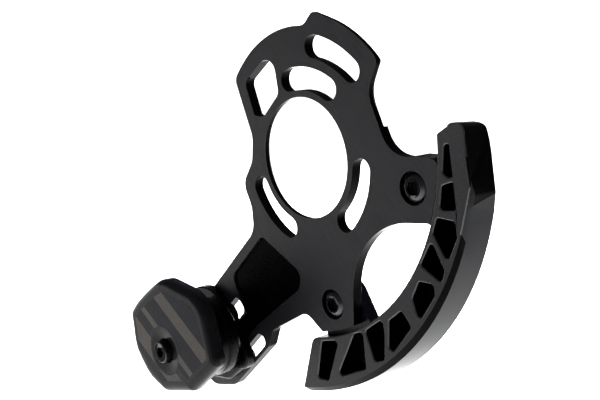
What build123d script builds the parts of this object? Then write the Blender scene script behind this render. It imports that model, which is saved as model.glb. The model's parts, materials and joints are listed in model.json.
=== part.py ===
from build123d import *
import math
import os

# Bicycle chain guide, drive side. X points forward, Z up and -Y outboard.
# The origin lies on the axis of the centre hole, in the front face of the plate.
os.makedirs("parts", exist_ok=True)

# Turn of the drawing about the axis of the hole, as the guide sits on the bicycle
CLOCK = 10.85

# Back plate
PLATE_T = 4.0
HOLE_CHAMFER = 2.2
LOBE_RISE = 4.4
WINDOW_RIM = 5.1
WINDOW_WEB = 4.0
REBATE_W = 1.6
REBATE_D = 2.2
REBATE_Z = 8.6

# Frame mounting slots on a 56 mm bolt circle, the slot above them, and the metal beside them
ISCG_R = 28.0
ISCG_MID = -31.4
ISCG_STEP = 107.0
ISCG_SPAN = 42.0
ISCG_W = 8.1
ISCG_RIM = 6.2
HOLE_RIM = 2.45
UPPER_FROM = 44.5
UPPER_SPAN = 28.9
UPPER_W = 8.0
UPPER_WEB = 3.45
UPPER_RIM = 6.9

# Arm that carries the lower guide
ARM_TILT = 36.87
ARM_EDGE = 37.4
ARM_SIDE = 0.8
ARM_FOOT = 9.7
RECESS_D = 0.8
RECESS_WEB = 1.1
RECESS_SIDE = 2.85
SLOT_W = 7.3
SLOT_N = 15.75
SLOT_TOP = 73.5
SLOT_ROUND = 2.6
PIN_SLOT_W = 5.6
PIN_SLOT_N = 33.05
PIN_SLOT_TOP = 71.8
TRAVEL_UP = 12.0
TRAVEL_DOWN = 2.5
SLOT_SPARE = 0.2

# Skid plate, a band between two arcs that widens towards its lower end
SKID_IN_R = 72.4
SKID_IN_X = -10.2
SKID_IN_Z = 8.5
SKID_W = 13.23
SKID_SHIFT = 18.87
SKID_SHIFT_AT = 149.8
SKID_FROM = -21.0
SKID_TO = -82.7
SKID_TIP = 2.4
SKID_KINK = 2.24
SKID_TOP_Z = 8.4
SKID_PROUD = 1.0
SKID_DEPTH = 11.0
SKID_EDGE = 1.2
SKID_GAP = 0.35
POCKET_D = 7.0
BAND_W = 6.0
BAND_Z = -25.0
BAND_H = 0.8
TAB_T = 5.0
TAB_R = 8.5
TAB_FLARE = 12.5
TAB_ROOT = 3.0

# Screws of the skid plate, M5
BOLT_IN = 9.6
BOLT_AT = (-18.3, -75.7)
M5_R = 2.5
M5_PLAY = 0.3
CBORE_R = 5.5
CBORE_D = 2.2
BUTTON_R = 5.0
BUTTON_RIM = 0.6
BUTTON_H = 2.3
BUTTON_KEY = 4.6
KEY_D = 1.5
INSERT_R = 3.6
INSERT_PLAY = 0.05

# Lower guide, placed from the pin that guides it in the arm's outer slot
PIN_PLAY = 0.1
PIN_L = 2.0
EAR_R = 5.2
AXLE_DROP = 3.6
AXLE_SIDE = 14.15
CLAMP_DROP = 7.5
CLAMP_STEP = 10.6
INNER_T = 4.0
INNER_EDGE = 0.5
CAP_T = 5.0
CAP_ROUND = 3.4
SPACER_L = 8.5
SPACER_R = 4.0
POST_AT = 171.6
POST_GAP = 0.4
POST_R = 2.8
PEG_R = 1.6
PEG_L = 2.5
CAP_CBORE_R = 5.0
CAP_CBORE_D = 2.8
DISH_R = 8.6
DISH_D = 0.7
HEAD_R = 4.25
HEAD_H = 5.0
HEAD_EDGE = 0.4
HEAD_KEY = 4.0
HEAD_KEY_D = 2.5

# Roller and its ball bearing
ROLLER_R = 15.7
ROLLER_ROUND = 2.4
ROLLER_GAP = 0.6
ROLLER_WALL = 4.2
ROLLER_GROOVE = 0.7
WEB_LIP = 1.0
BEARING_R = 8.0
BEARING_W = 5.0
BORE_PLAY = 0.02
RING_T = 1.5
BALL_R = 1.55
BALL_N = 8
BALL_PLAY = 0.05
SHIELD_T = 0.4

# Round press nuts and washers
NUT_R = 3.3
NUT_T = 2.7
NUT_PLAY = 0.05
SCREW_SHY = 0.2
WASHER_R = 5.2
WASHER_T = 1.0

# Places that follow from the sizes above
PLATE_FRONT = 0.0
PLATE_BACK = PLATE_FRONT + PLATE_T
TAB_BACK = PLATE_BACK + TAB_T
WASHER_BACK = PLATE_BACK + WASHER_T
SKID_FRONT = PLATE_FRONT - SKID_PROUD
INNER_FRONT = PLATE_FRONT - INNER_T
BEARING_BACK = INNER_FRONT - SPACER_L
CAP_BACK = BEARING_BACK - BEARING_W - SPACER_L
CAP_FRONT = CAP_BACK - CAP_T
M5_HOLE = M5_R + M5_PLAY
HOLE_R = ISCG_R - ISCG_W / 2 - HOLE_RIM
ISCG_OUT = ISCG_R + ISCG_W / 2
UPPER_R = ISCG_OUT + UPPER_WEB + UPPER_W / 2
LOBE_R = UPPER_R + UPPER_W / 2 + UPPER_RIM
TOP_R = LOBE_R - LOBE_RISE
SKID_OUT_R = SKID_IN_R + SKID_W + SKID_SHIFT
PIN_S = -PIN_SLOT_TOP - PIN_SLOT_W / 2 - SLOT_SPARE - TRAVEL_UP
PIN_SLOT_LOW = PIN_S - TRAVEL_DOWN - SLOT_SPARE - PIN_SLOT_W / 2
AXLE_S = PIN_S - AXLE_DROP
SLOT_LOW = AXLE_S - CLAMP_DROP - CLAMP_STEP - TRAVEL_DOWN - SLOT_SPARE - M5_R


def polar(r, degrees, x=0.0, z=0.0):
    """Point at a radius and angle about (x, z)."""
    a = math.radians(degrees)
    return (x + r * math.cos(a), z + r * math.sin(a))


def arc_corner(r, start, end, x=0.0, z=0.0):
    """Corner whose rounding is the arc of radius r about (x, z) between two angles."""
    reach = r / math.cos(math.radians(end - start) / 2)
    px, pz = polar(reach, (start + end) / 2, x, z)
    return (px, pz, r)


def past(r, degrees, reach, x=0.0, z=0.0):
    """Point past an end of an arc, along its tangent and clockwise for a positive reach."""
    return polar(reach, degrees - 90, *polar(r, degrees, x, z))


def arm(s, n):
    """Point on the arm, s up along it from the axis of the hole and n across it."""
    c = math.cos(math.radians(ARM_TILT))
    d = math.sin(math.radians(ARM_TILT))
    return (s * c + n * d, s * d - n * c)


def outline(corners):
    """Face with straight sides whose corners (x, z, r) are rounded."""
    count = len(corners)
    ends = []
    for i in range(count):
        p = Vector(*corners[i][:2])
        u = (Vector(*corners[i - 1][:2]) - p).normalized()
        v = (Vector(*corners[(i + 1) % count][:2]) - p).normalized()
        r = corners[i][2] if len(corners[i]) > 2 else 0.0
        if r == 0.0:
            ends.append((p, p, p))
            continue
        half = math.acos(max(-1.0, min(1.0, u.dot(v)))) / 2
        run = r / math.tan(half)
        middle = p + (u + v).normalized() * (r / math.sin(half) - r)
        ends.append((p + u * run, middle, p + v * run))
    edges = []
    for i in range(count):
        start, middle, end = ends[i]
        if (end - start).length > 1e-6:
            edges.append(ThreePointArc(start, middle, end))
        following = ends[(i + 1) % count][0]
        if (following - end).length > 1e-6:
            edges.append(Line(end, following))
    return make_face(Wire(edges))


def at(y):
    """Drawing plane at y that looks outboard, with its axes along X and Z."""
    return Plane(origin=(0, y, 0), x_dir=(1, 0, 0), z_dir=(0, -1, 0))


def slab(face, back, thickness):
    """Solid from a face, from its back at y outboard."""
    return extrude(at(back) * face, thickness)


def rod(place, r, back, length):
    """Round bar along Y from its back end outboard."""
    return slab(Pos(place[0], place[1]) * Circle(r), back, length)


def hexagon(place, across, back, length):
    """Hexagonal bar along Y, given across its flats."""
    return slab(Pos(place[0], place[1]) * RegularPolygon(across / math.sqrt(3), 6), back, length)


def turned(place, profile):
    """Solid turned about the Y axis through a place, from points (radius, y)."""
    points = [(place[0] + r, y, place[1]) for r, y in profile]
    face = make_face(Polyline(*points, close=True))
    return revolve(face, Axis((place[0], 0, place[1]), (0, -1, 0)), 360)


def skid_polar(r, degrees):
    return polar(r, degrees, SKID_IN_X, SKID_IN_Z)


def skid_centre():
    """Centre of the skid plate's outer arc."""
    return skid_polar(SKID_SHIFT, SKID_SHIFT_AT)


def skid_flat():
    """Place in X of the flat front wall above the outer arc."""
    return polar(SKID_OUT_R, SKID_FROM, *skid_centre())[0] + SKID_KINK


def bolt_places():
    return [skid_polar(SKID_IN_R - BOLT_IN, degrees) for degrees in BOLT_AT]


def lobe_arc(start, end):
    """End of a lobe of the plate, which follows the inside of the skid plate."""
    return arc_corner(SKID_IN_R - SKID_GAP, start, end, SKID_IN_X, SKID_IN_Z)


def lobe_tip(degrees, reach):
    return past(SKID_IN_R - SKID_GAP, degrees, reach, SKID_IN_X, SKID_IN_Z)


def plate_outline():
    foot = SLOT_LOW + ARM_FOOT
    return outline([
        (*past(TOP_R, 83.5, 2.7), 4.0),
        (*past(LOBE_R, 65.9, -8.3), 2.5),
        arc_corner(LOBE_R, 65.9, 40.0),
        (*past(LOBE_R, 40.0, 3.3), 3.0),
        (*polar(ISCG_OUT + ISCG_RIM + 1.6, 30.1), 9.0),
        (*polar(ISCG_OUT + ISCG_RIM + 2.85, -1.0), 11.0),
        (*lobe_tip(-13.5, -6.1), 3.0),
        lobe_arc(-13.5, -25.0),
        (*lobe_tip(-25.0, 0.5), 0.0),
        (*polar(ISCG_OUT - 1.7, -47.3), 29.0),
        (*lobe_tip(-70.0, -0.5), 0.0),
        lobe_arc(-70.0, -82.0),
        (*lobe_tip(-82.0, 1.8), 0.8),
        (*arm(-41.8, ARM_EDGE + 2.1), 5.0),
        (*arm(-64.1, ARM_EDGE - 3.3), 4.0),
        (*arm(-71.2, ARM_EDGE), 3.0),
        (*arm(foot, ARM_EDGE), 6.0),
        (*arm(foot - 16.3, ARM_EDGE - 8.6), 9.0),
        (*arm(foot - 12.0, ARM_SIDE), 8.0),
        (*arm(-44.0, ARM_SIDE), 9.0),
        (*polar(ISCG_OUT + ISCG_RIM, -153.0), 8.0),
        (*polar(ISCG_OUT + ISCG_RIM, -167.4), 6.0),
        (*polar(HOLE_R + HOLE_RIM + ISCG_RIM, -179.4), 8.0),
        (*polar(HOLE_R + HOLE_RIM + ISCG_RIM - 0.9, 162.1), 8.0),
        (*past(TOP_R, 131.0, -5.2), 4.0),
        arc_corner(TOP_R, 131.0, 83.5),
    ])


def arc_slot(r, start, span, width):
    """Curved slot about the axis of the hole, between the centres of its round ends."""
    return SlotArc(CenterArc((0, 0), r, start, span), width)


def iscg_slots():
    mids = [ISCG_MID + k * ISCG_STEP for k in (-1, 0, 1)]
    return [arc_slot(ISCG_R, mid - ISCG_SPAN / 2, ISCG_SPAN, ISCG_W) for mid in mids]


def arm_slot(n, width, top, low, rounding):
    """Straight slot along the arm, between its two ends."""
    near, far = n - width / 2, n + width / 2
    corners = [(top, near), (top, far), (low, far), (low, near)]
    return outline([(*arm(*corner), rounding) for corner in corners])


def arm_slots():
    """Wide slot for the clamp screws and a narrow one for the guide pin."""
    return [
        arm_slot(SLOT_N, SLOT_W, -SLOT_TOP, SLOT_LOW, SLOT_ROUND),
        arm_slot(PIN_SLOT_N, PIN_SLOT_W, -PIN_SLOT_TOP, PIN_SLOT_LOW, PIN_SLOT_W / 2),
    ]


def window():
    outside = TOP_R - WINDOW_RIM
    inside = HOLE_R + WINDOW_WEB
    return outline([
        (*polar(outside, 133.6), 3.0),
        (*polar(outside, 104.8), 5.0),
        (*polar(inside, 112.2), 3.5),
        (*polar(inside, 141.0), 3.0),
        (*polar(inside + 4.6, 146.1), 1.6),
    ])


def recess():
    """Milled hollow on the front of the arm, which runs down between the two slots."""
    left = SLOT_N + SLOT_W / 2 + RECESS_WEB
    right = PIN_SLOT_N - PIN_SLOT_W / 2 - RECESS_SIDE
    return outline([
        (*arm(-41.5, ARM_SIDE + 4.0), 3.0),
        (*arm(-33.0, right + 0.4), 4.0),
        (*arm(-38.5, right + 4.0), 4.0),
        (*arm(-SLOT_TOP + 2.2, right), 4.0),
        (*arm(PIN_SLOT_LOW, right), 2.5),
        (*arm(PIN_SLOT_LOW, left), 2.5),
        (*arm(-SLOT_TOP - 0.3, left), 3.0),
        (*arm(-70.0, ARM_SIDE + 4.2), 4.0),
    ])


def head_part(z):
    """Region of the drawing above z, wide enough for the head of the plate."""
    return Pos(0, z + LOBE_R) * Rectangle(4 * LOBE_R, 2 * LOBE_R)


def rebate(shape):
    """Step round the back of the plate's head, which makes its rim thinner."""
    head = shape & head_part(REBATE_Z - 3 * REBATE_W)
    return (head - offset(head, -REBATE_W, kind=Kind.INTERSECTION)) & head_part(REBATE_Z)


def backplate():
    shape = plate_outline()
    body = slab(shape, PLATE_BACK, PLATE_T)
    body -= slab(rebate(shape), PLATE_BACK, REBATE_D)
    cuts = [Circle(HOLE_R), window(), arc_slot(UPPER_R, UPPER_FROM, UPPER_SPAN, UPPER_W)]
    cuts += iscg_slots()
    cuts += arm_slots()
    for cut in cuts:
        body -= slab(cut, PLATE_BACK, PLATE_T)
    body -= turned((0, 0), [
        (0, PLATE_BACK),
        (HOLE_R + HOLE_CHAMFER, PLATE_BACK),
        (HOLE_R, PLATE_BACK - HOLE_CHAMFER),
        (0, PLATE_BACK - HOLE_CHAMFER),
    ])
    body -= slab(recess(), PLATE_FRONT + RECESS_D, RECESS_D)
    for place in bolt_places():
        body -= rod(place, M5_HOLE, PLATE_BACK, PLATE_T)
        body -= rod(place, CBORE_R, PLATE_FRONT + CBORE_D, CBORE_D)
    return body


def skid_outline(inset=0.0):
    """Outline of the skid plate, with its outer arc drawn in by the inset."""
    r = SKID_OUT_R - inset
    flat = skid_flat()
    tx, tz = polar(r, SKID_FROM, *skid_centre())
    bend = tz - (flat - tx) / math.tan(math.radians(SKID_FROM))
    return outline([
        (*skid_polar(SKID_IN_R, -2.6), 0.8),
        (flat - 4.9, SKID_TOP_Z - 0.1, 1.0),
        (flat, SKID_TOP_Z, 2.6),
        (flat, bend, 4.0),
        arc_corner(r, SKID_FROM, SKID_TO, *skid_centre()),
        (*past(r, SKID_TO, SKID_TIP, *skid_centre()), 1.2),
        (*skid_polar(SKID_IN_R + 1.8, -87.4), 4.0),
        arc_corner(SKID_IN_R, -84.0, -4.5, SKID_IN_X, SKID_IN_Z),
    ])


def skid_width(degrees):
    """Width of the skid plate outward from its inner arc, at an angle about that arc's centre."""
    a = math.radians(degrees)
    along = SKID_SHIFT * math.cos(math.radians(SKID_SHIFT_AT - degrees))
    to_arc = along + math.sqrt(SKID_OUT_R ** 2 - SKID_SHIFT ** 2 + along ** 2)
    to_flat = (skid_flat() - SKID_IN_X) / math.cos(a)
    return min(to_arc, to_flat) - SKID_IN_R


def pocket(*corners):
    """Pocket of the skid plate from corners (angle, share of the width, rounding)."""
    places = [(skid_polar(SKID_IN_R + share * skid_width(a), a), r) for a, share, r in corners]
    return outline([(*place, r) for place, r in places])


def pockets():
    """Nine moulded pockets along the front of the skid plate."""
    return [
        pocket((-4.8, 0.23, 1.2), (-5.0, 0.45, 1.2), (-11.6, 0.52, 1.2), (-12.6, 0.35, 1.2), (-11.7, 0.17, 1.2)),
        pocket((-14.7, 0.16, 1.2), (-13.0, 0.49, 1.0), (-19.0, 0.66, 1.4), (-20.7, 0.20, 1.4)),
        pocket((-22.7, 0.16, 1.2), (-21.5, 0.68, 1.2), (-24.6, 0.83, 1.6), (-31.0, 0.80, 1.3), (-26.9, 0.16, 1.0)),
        pocket((-28.7, 0.18, 1.2), (-33.1, 0.80, 1.4), (-36.0, 0.86, 1.2), (-36.3, 0.15, 1.2)),
        pocket((-40.1, 0.31, 1.4), (-37.7, 0.69, 1.3), (-39.8, 0.85, 1.4), (-47.8, 0.87, 1.3), (-45.1, 0.39, 1.4)),
        pocket((-50.3, 0.36, 1.3), (-50.7, 0.80, 1.6), (-59.7, 0.91, 1.4), (-60.2, 0.77, 1.0), (-55.8, 0.31, 1.4)),
        pocket((-57.6, 0.18, 1.2), (-59.5, 0.48, 2.0), (-63.3, 0.92, 1.4), (-66.5, 0.85, 1.4), (-65.3, 0.18, 1.4)),
        pocket((-66.3, 0.17, 1.4), (-70.2, 0.88, 1.2), (-80.8, 0.85, 1.2), (-70.0, 0.14, 1.6)),
        pocket((-83.8, 0.15, 1.4), (-76.8, 0.17, 1.3), (-84.0, 0.88, 1.6), (-87.8, 0.82, 1.2)),
    ]


def skid_tab(place):
    """Lug behind the plate, round at its screw and wider where it joins the skid plate."""
    away = math.hypot(place[0] - SKID_IN_X, place[1] - SKID_IN_Z)
    turn = math.degrees(math.atan2(place[1] - SKID_IN_Z, place[0] - SKID_IN_X))
    reach = SKID_IN_R - away + TAB_ROOT
    lug = outline([
        (-TAB_R, -TAB_R, TAB_R - 0.1),
        (reach, -TAB_FLARE, 0.0),
        (reach, TAB_FLARE, 0.0),
        (-TAB_R, TAB_R, TAB_R - 0.1),
    ])
    return slab(Pos(*place) * Rot(0, 0, turn) * lug, TAB_BACK, TAB_T)


def skid_plate():
    back = SKID_FRONT + SKID_DEPTH
    body = slab(skid_outline(), back, SKID_DEPTH)
    body -= turned(skid_centre(), [
        (SKID_OUT_R - SKID_EDGE, SKID_FRONT),
        (SKID_OUT_R + 1, SKID_FRONT),
        (SKID_OUT_R + 1, SKID_FRONT + SKID_EDGE + 1),
    ])
    for hollow in pockets():
        body -= slab(hollow, SKID_FRONT + POCKET_D, POCKET_D)
    tall = SKID_TOP_Z - BAND_Z
    side = Pos(skid_flat(), BAND_Z + tall) * Rectangle(2 * BAND_W, 2 * tall)
    body += slab(skid_outline(SKID_EDGE) & side, SKID_FRONT, BAND_H)
    for place in bolt_places():
        body += skid_tab(place)
    for place in bolt_places():
        body -= rod(place, INSERT_R + INSERT_PLAY, TAB_BACK, TAB_T)
    return body


def button_screw(place, seat, length):
    """Dome-headed screw whose head lies outboard of its seat."""
    crown = BUTTON_H - BUTTON_RIM
    head = turned(place, [
        (0, seat),
        (BUTTON_R, seat),
        (BUTTON_R, seat - BUTTON_RIM),
        (BUTTON_R * 0.86, seat - BUTTON_RIM - crown * 0.52),
        (BUTTON_R * 0.62, seat - BUTTON_H),
        (0, seat - BUTTON_H),
    ])
    head -= hexagon(place, BUTTON_KEY, seat - BUTTON_H + KEY_D, KEY_D)
    return head + rod(place, M5_R, seat + length, length)


def skid_bolts():
    seat = PLATE_FRONT + CBORE_D
    return [button_screw(place, seat, TAB_BACK - seat) for place in bolt_places()]


def skid_inserts():
    made = []
    for place in bolt_places():
        made.append(rod(place, INSERT_R, TAB_BACK, TAB_T) - rod(place, M5_HOLE, TAB_BACK, TAB_T))
    return made


def axle():
    return arm(AXLE_S, PIN_SLOT_N - AXLE_SIDE)


def clamp_places():
    """Two clamp screws in a row in the wide slot, below the axle."""
    return [arm(AXLE_S - CLAMP_DROP - k * CLAMP_STEP, SLOT_N) for k in range(2)]


def post():
    """Place of the post between the plates of the lower guide, just clear of the roller."""
    return polar(ROLLER_R + POST_GAP + POST_R, POST_AT, *axle())


def round_roller(*corners):
    """Outline about the axle from corners (margin outside the roller, angle, rounding)."""
    return outline([(*polar(ROLLER_R + margin, a, *axle()), r) for margin, a, r in corners])


def nut_pocket(place, back, depth):
    return rod(place, NUT_R + NUT_PLAY, back, depth)


def inner_plate():
    shape = round_roller(
        (3.2, 92.4, 13.0),
        (4.4, -28.8, 5.2),
        (3.8, -84.7, 8.0),
        (9.9, -128.7, 8.0),
        (9.5, -173.2, 6.0),
        (9.4, 132.6, 10.0),
    )
    for margin, degrees in ((-7.9, 61.8), (-1.8, -38.1)):
        shape += Pos(*polar(ROLLER_R + margin, degrees, *axle())) * Circle(EAR_R)
    body = slab(shape, PLATE_FRONT, INNER_T)
    body = chamfer(body.edges().group_by(Axis.Y)[0], INNER_EDGE)
    body -= nut_pocket(axle(), PLATE_FRONT, NUT_T)
    body -= rod(axle(), M5_HOLE, PLATE_FRONT, INNER_T)
    for place in clamp_places():
        body -= nut_pocket(place, INNER_FRONT + NUT_T, NUT_T)
        body -= rod(place, M5_HOLE, PLATE_FRONT, INNER_T)
    body += rod(arm(PIN_S, PIN_SLOT_N), PIN_SLOT_W / 2 - PIN_PLAY, PLATE_FRONT + PIN_L, PIN_L)
    body += rod(post(), POST_R, INNER_FRONT, INNER_FRONT - CAP_BACK)
    body += rod(post(), PEG_R, CAP_BACK, PEG_L)
    return body


def outer_plate():
    shape = round_roller(
        (13.7, 81.2, 12.0),
        (21.7, 38.3, 13.0),
        (17.7, -2.2, 4.5),
        (4.2, -46.6, 6.0),
        (2.6, -108.8, 7.0),
        (6.2, -172.6, 12.0),
        (10.9, 149.3, 4.5),
    )
    body = slab(shape, CAP_BACK, CAP_T)
    body = fillet(body.edges().group_by(Axis.Y)[0], CAP_ROUND)
    body -= turned(axle(), [
        (0, CAP_FRONT),
        (DISH_R, CAP_FRONT),
        (CAP_CBORE_R, CAP_FRONT + DISH_D),
        (0, CAP_FRONT + DISH_D),
    ])
    body -= rod(axle(), CAP_CBORE_R, CAP_FRONT + CAP_CBORE_D, CAP_CBORE_D)
    body -= rod(axle(), M5_HOLE, CAP_BACK, CAP_T)
    body -= rod(post(), PEG_R + M5_PLAY, CAP_BACK, PEG_L + M5_PLAY)
    return body


def axle_bolt():
    seat = CAP_FRONT + CAP_CBORE_D
    end = PLATE_FRONT - M5_PLAY
    head = rod(axle(), HEAD_R, seat, HEAD_H)
    head = chamfer(head.edges().group_by(Axis.Y)[0], HEAD_EDGE)
    head -= hexagon(axle(), HEAD_KEY, seat - HEAD_H + HEAD_KEY_D, HEAD_KEY_D)
    return head + rod(axle(), M5_R, end, end - seat)


def nut(place, back):
    return rod(place, NUT_R, back, NUT_T) - rod(place, M5_HOLE, back, NUT_T)


def axle_spacers():
    made = []
    for back in (INNER_FRONT, BEARING_BACK - BEARING_W):
        made.append(rod(axle(), SPACER_R, back, SPACER_L) - rod(axle(), M5_HOLE, back, SPACER_L))
    return made


def ball_circle():
    return (M5_R + BORE_PLAY + BEARING_R) / 2


def bearing_ring(inner):
    """One ring of the ball bearing with its groove."""
    middle = BEARING_BACK - BEARING_W / 2
    if inner:
        low, high = M5_R + BORE_PLAY, M5_R + BORE_PLAY + RING_T
    else:
        low, high = BEARING_R - RING_T, BEARING_R
    ring = rod(axle(), high, BEARING_BACK, BEARING_W) - rod(axle(), low, BEARING_BACK, BEARING_W)
    groove = [polar(BALL_R + BALL_PLAY, a, ball_circle(), middle) for a in range(-90, 270, 36)]
    return ring - turned(axle(), groove)


def bearing_balls():
    """Balls turned with five bands, which follow the groove of the rings."""
    middle = BEARING_BACK - BEARING_W / 2
    band = [polar(BALL_R, a, 0, middle) for a in range(-54, 90, 36)]
    profile = [(0, middle - BALL_R), *band, (0, middle + BALL_R)]
    places = [polar(ball_circle(), k * 360 / BALL_N, *axle()) for k in range(BALL_N)]
    return [turned(place, profile) for place in places]


def bearing_shields():
    inside = M5_R + BORE_PLAY + RING_T + BALL_PLAY
    outside = BEARING_R - RING_T
    made = []
    for back in (BEARING_BACK, BEARING_BACK - BEARING_W + SHIELD_T):
        made.append(rod(axle(), outside, back, SHIELD_T) - rod(axle(), inside, back, SHIELD_T))
    return made


def roller():
    """Roller turned in one piece, with a shallow groove and a web that holds the bearing."""
    back = INNER_FRONT - ROLLER_GAP
    front = CAP_BACK + ROLLER_GAP
    hub = BEARING_R + BORE_PLAY
    hollow = ROLLER_R - ROLLER_WALL
    web_back = BEARING_BACK + WEB_LIP
    web_front = BEARING_BACK - BEARING_W - WEB_LIP
    edge = ROLLER_R - ROLLER_ROUND
    steps = (0, 30, 60, 90)
    quarter = (back - front) / 4
    deep = ROLLER_R - ROLLER_GROOVE
    return turned(axle(), [
        (hub, web_back),
        (hollow, web_back),
        (hollow, back),
        *[polar(ROLLER_ROUND, 90 - a, edge, back - ROLLER_ROUND) for a in steps],
        (ROLLER_R, back - quarter),
        (deep, back - quarter - 2 * ROLLER_GROOVE),
        (deep, front + quarter + 2 * ROLLER_GROOVE),
        (ROLLER_R, front + quarter),
        *[polar(ROLLER_ROUND, -a, edge, front + ROLLER_ROUND) for a in steps],
        (hollow, front),
        (hollow, web_front),
        (hub, web_front),
    ])


def clamp_bolts():
    """Screws from the back of the arm, with their heads inboard."""
    made = []
    for place in clamp_places():
        screw = button_screw((0, 0), 0, WASHER_BACK - INNER_FRONT - SCREW_SHY)
        made.append(Pos(place[0], WASHER_BACK, place[1]) * Rot(0, 0, 180) * screw)
    return made


def clamp_washers():
    made = []
    for place in clamp_places():
        made.append(rod(place, WASHER_R, WASHER_BACK, WASHER_T) - rod(place, M5_HOLE, WASHER_BACK, WASHER_T))
    return made


def clamp_nuts():
    return [nut(place, INNER_FRONT + NUT_T) for place in clamp_places()]


PARTS = {
    "backplate": backplate(),
    "skid_plate": skid_plate(),
    "skid_bolts": skid_bolts(),
    "skid_inserts": skid_inserts(),
    "guide_inner_plate": inner_plate(),
    "guide_outer_plate": outer_plate(),
    "axle_bolt": axle_bolt(),
    "axle_nut": nut(axle(), PLATE_FRONT),
    "axle_spacers": axle_spacers(),
    "bearing_inner_ring": bearing_ring(True),
    "bearing_outer_ring": bearing_ring(False),
    "bearing_balls": bearing_balls(),
    "bearing_shields": bearing_shields(),
    "roller": roller(),
    "clamp_bolts": clamp_bolts(),
    "clamp_washers": clamp_washers(),
    "clamp_nuts": clamp_nuts(),
}

for name, made in PARTS.items():
    group = made if isinstance(made, list) else [made]
    solids = [Rot(0, -CLOCK, 0) * part for part in group]
    shape = Compound(children=[Compound(part.solids()) for part in solids]) if len(solids) > 1 else solids[0]
    export_step(shape, "parts/" + name + ".step")
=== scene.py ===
import json
import math

import bmesh
import bpy
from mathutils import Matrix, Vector


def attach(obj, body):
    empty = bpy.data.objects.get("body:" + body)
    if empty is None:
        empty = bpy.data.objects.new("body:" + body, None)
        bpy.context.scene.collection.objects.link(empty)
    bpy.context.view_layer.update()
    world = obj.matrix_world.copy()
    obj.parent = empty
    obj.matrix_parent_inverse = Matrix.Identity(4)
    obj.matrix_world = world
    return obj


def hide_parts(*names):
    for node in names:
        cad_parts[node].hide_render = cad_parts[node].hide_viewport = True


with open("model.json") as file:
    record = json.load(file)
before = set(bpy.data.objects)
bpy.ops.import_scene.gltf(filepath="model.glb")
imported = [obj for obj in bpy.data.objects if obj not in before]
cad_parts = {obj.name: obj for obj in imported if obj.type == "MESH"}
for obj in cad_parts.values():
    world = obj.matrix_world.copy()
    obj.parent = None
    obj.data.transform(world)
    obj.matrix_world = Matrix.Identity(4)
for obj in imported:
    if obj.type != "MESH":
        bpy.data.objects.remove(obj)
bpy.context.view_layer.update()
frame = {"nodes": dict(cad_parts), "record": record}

# Lengths are in metres and angles in degrees, unless a line says otherwise
MM = 0.001

# Camera, in the guide's own frame
CAMERA_AT = (0.23143, -0.20697, 0.06433)
CAMERA_AZIMUTH = 48.47
CAMERA_ELEVATION = 14.36
LENS = 54.0
SENSOR = 36.0

# Stage and light; each soft box has a name, a place, a size and a power
FLOOR_Z = -0.26
FLOOR_SIZE = 40.0
FLOOR_WHITE, FLOOR_ROUGH = 0.92, 0.9
BOXES = (
    ("softbox_back", (-5.0, 5.0, 2.2), 8.0, 1000.0),
    ("softbox_low", (-0.3, 0.64, 0.2), 0.8, 24.0),
    ("softbox_front", (-2.0, -2.4, 1.0), 2.0, 75.0),
)
FILL_AT = (0, 0, 3)
FILL_POWER = 0.5
FILL_ANGLE = 120.0
WORLD_GREY = 0.06

# Sockets of a colour mix: the two colours and the result
MIX_COLOURS, MIX_RESULT = (6, 7), 2

# Range over which a worn spot fades in
WORN_EASE = 0.05

# Meshes: angle of edges that are broken, angle of creases on the skid plate, what counts as one point or one plane
# (angles in radians), and how squarely a face of the front looks forward
SHARP = math.radians(32)
CREASE = math.radians(14)
MERGE = 1e-6
FLAT = math.radians(0.6)
FRONT_FACING = 0.95

# Broken edges: their steps, the place of their finish among a piece's finishes, and their width in mm
EDGE_STEPS, EDGE_FINISH = 2, 1
PLATE_EDGE, SKID_EDGE, INNER_EDGE = 0.3, 0.4, 0.25
CAP_EDGE, ROLLER_EDGE, SCREW_EDGE = 0.2, 0.2, 0.12

# Outer wall of the skid plate: centre and radius of its arc in the CAD, the skin that moves, and how far the rings
# of the wall stand out (constant, linear and square terms along the arc, in mm), so that it leans outward to the back
ARC_CENTRE = (-0.02942, 0.01268)
ARC_RADIUS = 0.1045
ARC_TURN = 10.85
ARC_START, ARC_SPAN, ARC_EASE = -21.0, 60.0, 4.5
WALL_SKIN, WALL_EASE = 0.0015, 0.0003
RING_INNER = (0.10, 2.9, -2.0)
RING_FRONT = (-0.45, 6.2, -4.1)
RING_BACK = (1.2, 9.4, -9.0)
INNER_RING_Y, FRONT_RING_Y = -0.0009, 0.001
RING_SINK = 0.0008

# Where the skid plate's finishes, which paint shade on its chamfer, flat wall and pockets, and its broken edges lie;
# angles are past the start of the arc, depths inside it
CHAMFER_FROM, CHAMFER_DEPTH, CHAMFER_Y = 3.7, 0.0013, 0.0009
FLAT_TO, FLAT_DEPTH, FLAT_FACING = -2.0, 0.005, 0.9
POCKET_FRONT, POCKET_BACK, POCKET_AREA = -0.0005, 0.0061, 3e-4
RIM_Y, RIM_DEPTH = -0.0008, 0.0014

# Top of the skid plate, whose back leans in and slopes down
TOP_FROM, TOP_RISE, TOP_EDGE = -0.002, 0.0104, 0.0733
TOP_IN, TOP_DOWN = 0.0016, 0.0014
TOP_FRONT, TOP_DEPTH = -0.001, 0.011
TOP_WIDTH, TOP_EASE = 0.009, 0.008
TOP_STEPS = (0.0, 0.35, 0.65)

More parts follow.
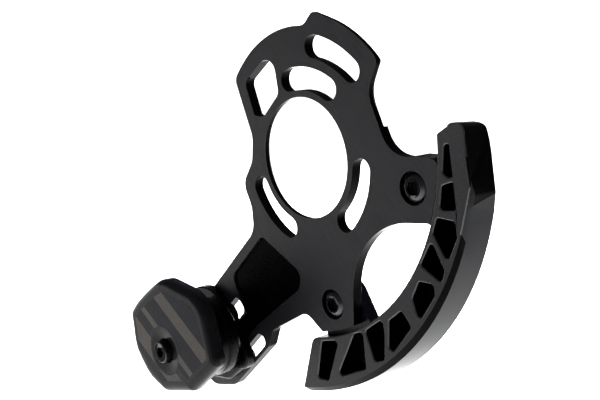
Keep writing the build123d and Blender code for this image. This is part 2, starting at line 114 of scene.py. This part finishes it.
# Cap: the cuts through its axle, its front with a rim round a sunk middle, and how far its outline swells beyond the
# CAD's straight sides (angle about the axle and swell in mm)
CAP_AXLE = (-0.04683, -0.0796)
CAP_CUTS = 30
CAP_CORE = 0.008
CAP_FACE_Y, CAP_ROUND = -0.031, 0.0034
CAP_FACE_OUT = 0.0008
CAP_LEFT_FROM, CAP_LEFT_EASE = 0.3, 0.6
CAP_RIM, CAP_SINK = 0.0011, 0.00003
CAP_LEVEL = 0.00001
PRINT_LEVEL, PRINT_FACING = 0.2, 0.9
CAP_SWELL = (
    (0, 0.5), (60, 0.5), (90, 0.3), (106, 1.2), (125, 1.35), (145, 1.3), (157, 0.6), (168, 0.8), (181, 1.4),
    (200, 2.0), (212, 2.8), (222, 3.3), (232, 3.0), (244, 1.8), (256, 0.6), (272, 0.5), (325, 0.4), (360, 0.5),
)

# Bands on the cap: their slant in radians, and the middle and width of each
BAND_SLANT = math.radians(62)
BANDS = ((-0.0985, 0.008), (-0.0875, 0.003), (-0.0745, 0.006))

# Recess in the arm of the back plate, and the facing of what counts as a wall
RECESS_FRONT, RECESS_BACK, RECESS_X, RECESS_FACING = 0.0003, 0.0012, -0.005, 0.99
PLATE_WALL_FACING, SKID_WALL_FACING = 0.8, 0.5

# Axes of the screws, and the radius within which their faces are painted dark, as shade in the socket
SCREWS_AT = (
    (0.05065, -0.00171), (0.01507, -0.05042), (-0.04683, -0.0796), (-0.05421, -0.08303), (-0.06134, -0.09087),
)
SOCKET_R = 0.00236

RECORD = frame["record"]
BODY_OF = {node: body for body, nodes in RECORD["behaviour"]["bodies"].items() for node in nodes}


def add(tree, kind, **inputs):
    """Shader node with some of its inputs set, by their names with spaces as underscores."""
    made = tree.nodes.new(kind)
    for name, value in inputs.items():
        made.inputs[name.replace("_", " ")].default_value = value
    return made


def object_place(tree, turn, stretch):
    """Place on the object, turned about Y and stretched along the turned X axis."""
    coords = tree.nodes.new("ShaderNodeTexCoord")
    turned = add(tree, "ShaderNodeMapping", Rotation=(0, math.radians(turn), 0))
    scaled = add(tree, "ShaderNodeMapping", Scale=(1 / stretch, 1, 1))
    tree.links.new(coords.outputs["Object"], turned.inputs["Vector"])
    tree.links.new(turned.outputs["Vector"], scaled.inputs["Vector"])
    return scaled.outputs["Vector"]


def noise(tree, place, size_mm, detail=3.0, rough=0.5):
    """Noise whose marks have about the given size."""
    made = add(tree, "ShaderNodeTexNoise", Scale=1 / (size_mm * MM), Detail=detail, Roughness=rough)
    tree.links.new(place, made.inputs["Vector"])
    return made.outputs["Fac"]


def spread(tree, value, low, high, start=0.3, end=0.7):
    """Value mapped from the middle of its range to two levels."""
    made = add(tree, "ShaderNodeMapRange", From_Min=start, From_Max=end, To_Min=low, To_Max=high)
    tree.links.new(value, made.inputs["Value"])
    return made.outputs["Result"]


def blend_colour(tree, factor, first, second):
    """Colour between two, each a tuple or another node's output."""
    made = tree.nodes.new("ShaderNodeMix")
    made.data_type = "RGBA"
    tree.links.new(factor, made.inputs["Factor"])
    for socket_shade, value in zip(MIX_COLOURS, (first, second)):
        if isinstance(value, tuple):
            made.inputs[socket_shade].default_value = (*value, 1.0)
        else:
            tree.links.new(value, made.inputs[socket_shade])
    return made.outputs[MIX_RESULT]


def finish(name, colour, rough, metallic=0.0, specular=0.5, cloud=0.2, cloud_mm=14.0, grain_mm=0.5, stretch=1.0,
           turn=0.0, bump_mm=0.01, rough_spread=0.06, worn=None, worn_share=0.25, worn_mm=3.0, print_colour=None,
           print_mask=None):
    """Surface with clouded colour, grain in bump and roughness, and a print or worn spots where it is given them."""
    material = bpy.data.materials.new(name)
    material.use_nodes = True
    tree = material.node_tree
    shader = tree.nodes["Principled BSDF"]
    shader.inputs["Metallic"].default_value = metallic
    shader.inputs["Specular IOR Level"].default_value = specular
    plain = object_place(tree, 0.0, 1.0)
    along = object_place(tree, turn, stretch)
    dark = tuple(c * (1 - cloud) for c in colour)
    pale = tuple(c * (1 + cloud) for c in colour)
    tint = blend_colour(tree, spread(tree, noise(tree, plain, cloud_mm), 0.0, 1.0), dark, pale)
    if print_mask:
        tint = blend_colour(tree, print_mask(tree), tint, print_colour)
    grain = noise(tree, along, grain_mm)
    dull = spread(tree, grain, rough - rough_spread, rough + rough_spread)
    if worn:
        bare = 1 - worn_share
        mask = spread(tree, noise(tree, plain, worn_mm), 0.0, 1.0, bare, bare + WORN_EASE)
        tint = blend_colour(tree, mask, tint, worn)
    bump = add(tree, "ShaderNodeBump", Strength=1.0, Distance=bump_mm * MM)
    tree.links.new(grain, bump.inputs["Height"])
    tree.links.new(tint, shader.inputs["Base Color"])
    tree.links.new(dull, shader.inputs["Roughness"])
    tree.links.new(bump.outputs["Normal"], shader.inputs["Normal"])
    return material


def axis_value(tree, direction):
    """Distance along a direction on the object, in metres."""
    coords = tree.nodes.new("ShaderNodeTexCoord")
    dot = tree.nodes.new("ShaderNodeVectorMath")
    dot.operation = "DOT_PRODUCT"
    dot.inputs[1].default_value = direction
    tree.links.new(coords.outputs["Object"], dot.inputs[0])
    return dot.outputs["Value"]


def cap_bands(tree):
    """Mask of three slanted bands across the cap, wide, narrow and wide."""
    value = axis_value(tree, (math.cos(BAND_SLANT), 0, math.sin(BAND_SLANT)))
    total = None
    for middle, width in BANDS:
        band = tree.nodes.new("ShaderNodeMath")
        band.operation = "COMPARE"
        band.inputs[1].default_value = middle
        band.inputs[2].default_value = width / 2
        tree.links.new(value, band.inputs[0])
        if total is None:
            total = band.outputs[0]
            continue
        both = tree.nodes.new("ShaderNodeMath")
        both.operation = "MAXIMUM"
        tree.links.new(total, both.inputs[0])
        tree.links.new(band.outputs[0], both.inputs[1])
        total = both.outputs[0]
    return total


def materials():
    """Every finish of the guide, by a short name."""
    anodised = {"grain_mm": 0.35, "stretch": 30.0, "turn": -41.0}
    moulded = {"grain_mm": 0.45}
    gloss = {"grain_mm": 1.2, "bump_mm": 0.003}
    steel = {"rough": 0.34, "metallic": 1.0, "grain_mm": 0.4}
    return {
        "plate": finish("plate_anodised", (0.0065, 0.0053, 0.0085), rough=0.5, specular=0.35, bump_mm=0.012,
                        rough_spread=0.1, **anodised),
        "plate_edge": finish("plate_edge", (0.012, 0.011, 0.013), rough=0.26, specular=0.5, bump_mm=0.002,
                             worn=(0.12, 0.12, 0.125), worn_share=0.12, **anodised),
        # Painted shade: the back plate's walls are a darker, duller copy of its anodised finish
        "plate_wall_shade": finish("plate_wall_shade", (0.002, 0.002, 0.002), rough=0.16, specular=0.022, bump_mm=0.001,
                             **anodised),
        # Painted shade: the bottom of the recess in the arm is a near-black, barely reflective copy of the plate's
        # finish
        "recess": finish("plate_recess", (0.0012, 0.0008, 0.0008), rough=0.3, specular=0.012, grain_mm=0.6,
                         stretch=4.0, bump_mm=0.001),
        "skid": finish("skid_moulded", (0.0065, 0.0055, 0.0085), rough=0.3, specular=0.3, bump_mm=0.004, **moulded),
        # Painted highlight: the broken rims round the skid plate's front and pockets are paler than its face
        "skid_edge_highlight": finish("skid_edge_highlight", (0.036, 0.034, 0.039), rough=0.22, specular=0.9, bump_mm=0.002, **moulded),
        "skid_wall": finish("skid_wall", (0.002, 0.003, 0.0065), rough=0.13, specular=0.3, bump_mm=0.001, **moulded),
        # Painted shade: a near-black copy of the skid's finish, for the chamfer along its arc and the flat wall above
        # it
        "skid_chamfer_shade": finish("skid_chamfer_shade", (0.0015, 0.0015, 0.0015), rough=0.2, specular=0.03, bump_mm=0.001,
                               **moulded),
        # Painted shade: the walls and bottoms of the skid plate's pockets are near black
        "skid_pocket_shade": finish("skid_pocket_shade", (0.001, 0.001, 0.001), rough=0.2, specular=0.1, bump_mm=0.002,
                              **moulded),
        "cap": finish("cap_moulded", (0.009, 0.009, 0.0105), rough=0.22, specular=0.1, bump_mm=0.0012, **moulded),
        "cap_edge": finish("cap_edge", (0.004, 0.004, 0.0048), rough=0.2, specular=0.3, bump_mm=0.001, **moulded),
        "cap_print": finish("cap_print", (0.0035, 0.0038, 0.0085), rough=0.3, specular=0.08, bump_mm=0.002,
                            print_colour=(0.075, 0.066, 0.06), print_mask=cap_bands, **moulded),
        "roller": finish("roller_gloss", (0.0015, 0.0015, 0.0015), rough=0.26, specular=0.09, **gloss),
        "roller_edge": finish("roller_edge", (0.003, 0.003, 0.003), rough=0.18, specular=0.3,
                              worn=(0.01, 0.01, 0.01), **gloss),
        "guide": finish("guide_anodised", (0.0016, 0.0016, 0.0018), rough=0.24, specular=0.12, bump_mm=0.003,
                        **anodised),
        "guide_edge": finish("guide_edge", (0.01, 0.01, 0.011), rough=0.24, specular=0.5, bump_mm=0.002,
                             worn=(0.1, 0.1, 0.105), worn_share=0.1, **anodised),
        "screw": finish("screw_black_oxide", (0.12, 0.115, 0.128), bump_mm=0.003, **steel),
        "screw_edge": finish("screw_edge", (0.05, 0.05, 0.054), bump_mm=0.004, worn=(0.3, 0.3, 0.31),
                             worn_share=0.15, **steel),
        # Painted shade: a near-black finish for the faces in the screws' sockets
        "socket_shade": finish("screw_socket_shade", (0.0015, 0.0015, 0.0015), rough=0.5, specular=0.03, grain_mm=0.4,
                         bump_mm=0.006),
        "zinc": finish("zinc_plated", (0.52, 0.52, 0.54), bump_mm=0.006, **steel),
        "brass": finish("turned_brass", (0.62, 0.44, 0.19), bump_mm=0.006, **steel),
        "bearing": finish("ground_steel", (0.6, 0.6, 0.62), rough=0.2, metallic=1.0, grain_mm=0.3, bump_mm=0.003),
        "alloy": finish("turned_alloy", (0.5, 0.5, 0.52), bump_mm=0.006, **steel),
    }


def clipped(value):
    """Value held between 0 and 1."""
    return max(0.0, min(1.0, value))


def cut(form, at, normal):
    """Cuts all faces of a mesh along a plane and keeps both sides."""
    bmesh.ops.bisect_plane(form, geom=[*form.verts, *form.edges, *form.faces], dist=MERGE, plane_co=at,
                           plane_no=normal)


def join_flats(form):
    """Joins faces that lie in one plane."""
    bmesh.ops.dissolve_limit(form, angle_limit=FLAT, verts=form.verts, edges=form.edges)


def skid_axes():
    """Directions across and up the flat top of the skid plate."""
    turn = math.radians(ARC_TURN)
    return Vector((math.cos(turn), 0, math.sin(turn))), Vector((-math.sin(turn), 0, math.cos(turn)))


def arc_place(point):
    """Radius of a point about the skid plate's arc, and how many degrees it is past the arc's start."""
    dx, dz = point.x - ARC_CENTRE[0], point.z - ARC_CENTRE[1]
    return math.hypot(dx, dz), ARC_START - (math.degrees(math.atan2(dz, dx)) - ARC_TURN)


def flare_skid(form):
    """Leans the curved outer wall of the skid plate outward to the back."""
    for v in form.verts:
        r, past = arc_place(v.co)
        share = clipped((past + ARC_EASE) / ARC_EASE) * clipped((r - ARC_RADIUS + WALL_SKIN) / WALL_EASE)
        if not share:
            continue
        ring = RING_INNER if v.co.y < INNER_RING_Y else RING_FRONT if v.co.y < FRONT_RING_Y else RING_BACK
        t = max(0.0, past / ARC_SPAN)
        grown = 1 + share * (ring[0] + ring[1] * t + ring[2] * t * t) * MM / r
        v.co.x = ARC_CENTRE[0] + (v.co.x - ARC_CENTRE[0]) * grown
        v.co.z = ARC_CENTRE[1] + (v.co.z - ARC_CENTRE[1]) * grown
        if ring is RING_FRONT:
            v.co.y += share * RING_SINK


def lean_top(form):
    """Leans the back of the skid plate's top end in and slopes it down."""
    along, rise = skid_axes()
    for step in TOP_STEPS:
        cut(form, rise * (TOP_FROM + step * TOP_RISE), rise)
    for v in form.verts:
        up = clipped((v.co.dot(rise) - TOP_FROM) / TOP_RISE)
        back = clipped((v.co.y - TOP_FRONT) / TOP_DEPTH)
        outer = clipped((v.co.dot(along) - TOP_EDGE + TOP_WIDTH) / TOP_EASE)
        v.co -= along * TOP_IN * up * up * back * outer + rise * TOP_DOWN * up ** 4 * back * outer


def shape_skid(form):
    """Forms of the skid plate that the CAD lacks."""
    flare_skid(form)
    lean_top(form)


def swell_at(degrees):
    """Swell of the cap's outline at an angle, eased between the listed angles."""
    for (a, low), (b, high) in zip(CAP_SWELL, CAP_SWELL[1:]):
        if a <= degrees <= b:
            return low + (high - low) * (1 - math.cos(math.pi * (degrees - a) / (b - a))) / 2


def swell_cap(form):
    """Sinks the middle of the cap's front a little and rounds its straight sides outward."""
    join_flats(form)
    form.normal_update()
    flat = [face for face in form.faces if all(abs(v.co.y - CAP_FACE_Y) < CAP_LEVEL for v in face.verts)]
    bmesh.ops.inset_region(form, faces=flat, thickness=CAP_RIM, depth=-CAP_SINK, use_even_offset=True,
                           use_boundary=True)
    for k in range(CAP_CUTS):
        a = math.pi * k / CAP_CUTS
        cut(form, (CAP_AXLE[0], 0, CAP_AXLE[1]), (-math.sin(a), 0, math.cos(a)))
    polar = {}
    reach = {}
    for v in form.verts:
        dx, dz = v.co.x - CAP_AXLE[0], v.co.z - CAP_AXLE[1]
        r, a = math.hypot(dx, dz), math.degrees(math.atan2(dz, dx)) % 360
        sector = round(a * CAP_CUTS / 180) % (2 * CAP_CUTS)
        polar[v] = (dx, dz, r, a, sector)
        reach[sector] = max(r, reach.get(sector, 0.0))
    for v, (dx, dz, r, a, sector) in polar.items():
        share = clipped((r - CAP_CORE) / (reach[sector] - CAP_CORE))
        if share:
            front = clipped((CAP_FACE_Y + CAP_ROUND - v.co.y) / CAP_ROUND)
            left = clipped((-dx / r + CAP_LEFT_FROM) / CAP_LEFT_EASE)
            out = share * (swell_at(a) * MM + front * left * CAP_FACE_OUT)
            v.co.x += dx / r * out
            v.co.z += dz / r * out


def on_rim(edge):
    """Whether an edge of the skid plate bounds its front face, away from the outer arc."""
    fronts = sorted(face.normal.y < -FRONT_FACING for face in edge.link_faces)
    return fronts == [False, True] and all(
        v.co.y < RIM_Y and arc_place(v.co)[0] < ARC_RADIUS - RIM_DEPTH for v in edge.verts)


def dress(node, edge_mm, *finishes, shape=None, crease=SHARP, rims=None, join=True):
    """Piece with broken edges that stands for a CAD node; its second finish is that of the edges. Where it is given
    a test for rims, those edges alone are broken. Without join, what shape has cut stays cut."""
    mesh = bpy.data.meshes.new(node + "_dressed")
    form = bmesh.new()
    form.from_mesh(frame["nodes"][node].data)
    bmesh.ops.remove_doubles(form, verts=form.verts, dist=MERGE)
    if shape:
        shape(form)
    if join:
        join_flats(form)
    for face in form.faces:
        face.smooth = True
        face.material_index = 0
    for edge in form.edges:
        edge.smooth = edge.calc_face_angle(0.0) < crease
    if rims:
        weight = form.edges.layers.float.new("bevel_weight_edge")
        for edge in form.edges:
            edge[weight] = float(rims(edge))
    form.to_mesh(mesh)
    form.free()
    for material in finishes:
        mesh.materials.append(material)
    piece = bpy.data.objects.new(node + "_dressed", mesh)
    bpy.context.scene.collection.objects.link(piece)
    bevel = piece.modifiers.new("edges", "BEVEL")
    bevel.width = edge_mm * MM
    bevel.segments = EDGE_STEPS
    bevel.use_clamp_overlap = not rims
    bevel.limit_method = "WEIGHT" if rims else "ANGLE"
    bevel.angle_limit = SHARP
    bevel.material = EDGE_FINISH
    smooth = piece.modifiers.new("flats", "WEIGHTED_NORMAL")
    smooth.keep_sharp = True
    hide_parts(node)
    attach(piece, BODY_OF[node])
    return piece


def paint_faces(piece, material, chosen):
    """Gives the faces that a test picks another of the piece's finishes."""
    index = piece.data.materials.find(material.name)
    for face in piece.data.polygons:
        if chosen(face):
            face.material_index = index


def in_recess(face):
    """Whether a face of the back plate is the bottom of the recess in its arm."""
    return (face.normal.y < -RECESS_FACING and RECESS_FRONT < face.center.y < RECESS_BACK
            and face.center.x < RECESS_X)


def in_pocket(face):
    """Whether a face of the skid plate is a wall or the bottom of a pocket."""
    return (POCKET_FRONT < face.center.y < POCKET_BACK and arc_place(face.center)[0] < ARC_RADIUS - CHAMFER_DEPTH
            and face.area < POCKET_AREA)


def on_chamfer(face):
    """Whether a face of the skid plate lies on the chamfer along its outer arc."""
    r, past = arc_place(face.center)
    return (past > CHAMFER_FROM and r > ARC_RADIUS - CHAMFER_DEPTH and face.center.y < CHAMFER_Y
            and face.normal.y > -FRONT_FACING)


def on_flat(face):
    """Whether a face of the skid plate lies on the flat outer wall above its arc."""
    r, past = arc_place(face.center)
    return past < FLAT_TO and face.normal.dot(skid_axes()[0]) > FLAT_FACING and r > ARC_RADIUS - FLAT_DEPTH


def on_print(face):
    """Whether a face of the cap lies in the sunk middle of its front."""
    return abs(face.center.y - CAP_FACE_Y - CAP_SINK) < PRINT_LEVEL * CAP_SINK and face.normal.y < -PRINT_FACING


def in_socket(face):
    """Whether a face of a screw lies in its socket or on its shank, near the axis."""
    return any(math.hypot(face.center.x - x, face.center.z - z) < SOCKET_R for x, z in SCREWS_AT)


def dress_guide(m):
    """Pieces that stand for the CAD nodes in view."""
    plate = dress("backplate", PLATE_EDGE, m["plate"], m["plate_edge"], m["recess"], m["plate_wall_shade"])
    # Painted shade: faces that look sideways get the darker wall finish
    paint_faces(plate, m["plate_wall_shade"], lambda face: abs(face.normal.y) < PLATE_WALL_FACING)
    # Painted shade: the bottom of the recess gets the near-black finish
    paint_faces(plate, m["recess"], in_recess)
    # The skid plate's rims take a paler finish, a painted highlight
    skid = dress("skid_plate", SKID_EDGE, m["skid"], m["skid_edge_highlight"], m["skid_wall"], m["skid_pocket_shade"],
                 m["skid_chamfer_shade"], shape=shape_skid, crease=CREASE, rims=on_rim)
    paint_faces(skid, m["skid_wall"], lambda face: abs(face.normal.y) < SKID_WALL_FACING)
    # Painted shade on the chamfer along the outer arc
    paint_faces(skid, m["skid_chamfer_shade"], on_chamfer)
    # Painted shade on the flat outer wall, which takes the chamfer's near-black finish
    paint_faces(skid, m["skid_chamfer_shade"], on_flat)
    # Painted shade in the pockets
    paint_faces(skid, m["skid_pocket_shade"], in_pocket)
    dress("guide_inner_plate", INNER_EDGE, m["guide"], m["guide_edge"])
    cap = dress("guide_outer_plate", CAP_EDGE, m["cap"], m["cap_edge"], m["cap_print"], shape=swell_cap, join=False)
    paint_faces(cap, m["cap_print"], on_print)
    dress("roller", ROLLER_EDGE, m["roller"], m["roller_edge"])
    for node in ("skid_bolts", "axle_bolt", "clamp_bolts"):
        screw = dress(node, SCREW_EDGE, m["screw"], m["screw_edge"], m["socket_shade"])
        # Painted shade in the sockets, near each screw's axis
        paint_faces(screw, m["socket_shade"], in_socket)


def paint_nodes(m):
    """Finishes of the CAD nodes that are kept as they are."""
    plain = {
        "zinc": ("axle_nut", "clamp_nuts", "clamp_washers"),
        "brass": ("skid_inserts",),
        "bearing": ("bearing_inner_ring", "bearing_outer_ring", "bearing_balls", "bearing_shields"),
        "alloy": ("axle_spacers",),
    }
    for name, nodes in plain.items():
        for node in nodes:
            frame["nodes"][node].material_slots[0].material = m[name]


def camera():
    """Camera that stands where the photo was taken from."""
    data = bpy.data.cameras.new("camera")
    data.lens = LENS
    data.sensor_width = SENSOR
    made = bpy.data.objects.new("camera", data)
    bpy.context.scene.collection.objects.link(made)
    made.location = CAMERA_AT
    az, el = math.radians(CAMERA_AZIMUTH), math.radians(CAMERA_ELEVATION)
    ahead = Vector((-math.sin(az) * math.cos(el), math.cos(az) * math.cos(el), -math.sin(el)))
    made.rotation_euler = ahead.to_track_quat("-Z", "Y").to_euler()
    bpy.context.scene.camera = made


def stage():
    """Plain pale floor."""
    mesh = bpy.data.meshes.new("floor")
    half = FLOOR_SIZE / 2
    corners = [(-half, -half, FLOOR_Z), (half, -half, FLOOR_Z), (half, half, FLOOR_Z), (-half, half, FLOOR_Z)]
    mesh.from_pydata(corners, [], [(0, 1, 2, 3)])
    white = bpy.data.materials.new("floor_white")
    white.use_nodes = True
    shader = white.node_tree.nodes["Principled BSDF"]
    shader.inputs["Base Color"].default_value = (FLOOR_WHITE, FLOOR_WHITE, FLOOR_WHITE, 1)
    shader.inputs["Roughness"].default_value = FLOOR_ROUGH
    shader.inputs["Specular IOR Level"].default_value = 0.0
    mesh.materials.append(white)
    floor = bpy.data.objects.new("floor", mesh)
    bpy.context.scene.collection.objects.link(floor)


def light(data, place):
    """Light at a place, hidden from the camera and from mirrors."""
    made = bpy.data.objects.new(data.name, data)
    made.location = place
    made.visible_glossy = False
    made.visible_camera = False
    bpy.context.scene.collection.objects.link(made)


def lights():
    """Soft boxes over a pale floor, which the dark surfaces mirror; the boxes themselves aren't mirrored."""
    for name, place, size, power in BOXES:
        box = bpy.data.lights.new(name, "AREA")
        box.size = size
        box.energy = power
        light(box, place)
    fill = bpy.data.lights.new("fill", "SUN")
    fill.energy = FILL_POWER
    fill.angle = math.radians(FILL_ANGLE)
    light(fill, FILL_AT)
    world = bpy.data.worlds.new("world")
    world.use_nodes = True
    world.node_tree.nodes["Background"].inputs["Color"].default_value = (WORLD_GREY, WORLD_GREY, WORLD_GREY, 1)
    bpy.context.scene.world = world
    bpy.context.scene.view_settings.view_transform = "Standard"


looks = materials()
dress_guide(looks)
paint_nodes(looks)
camera()
stage()
lights()
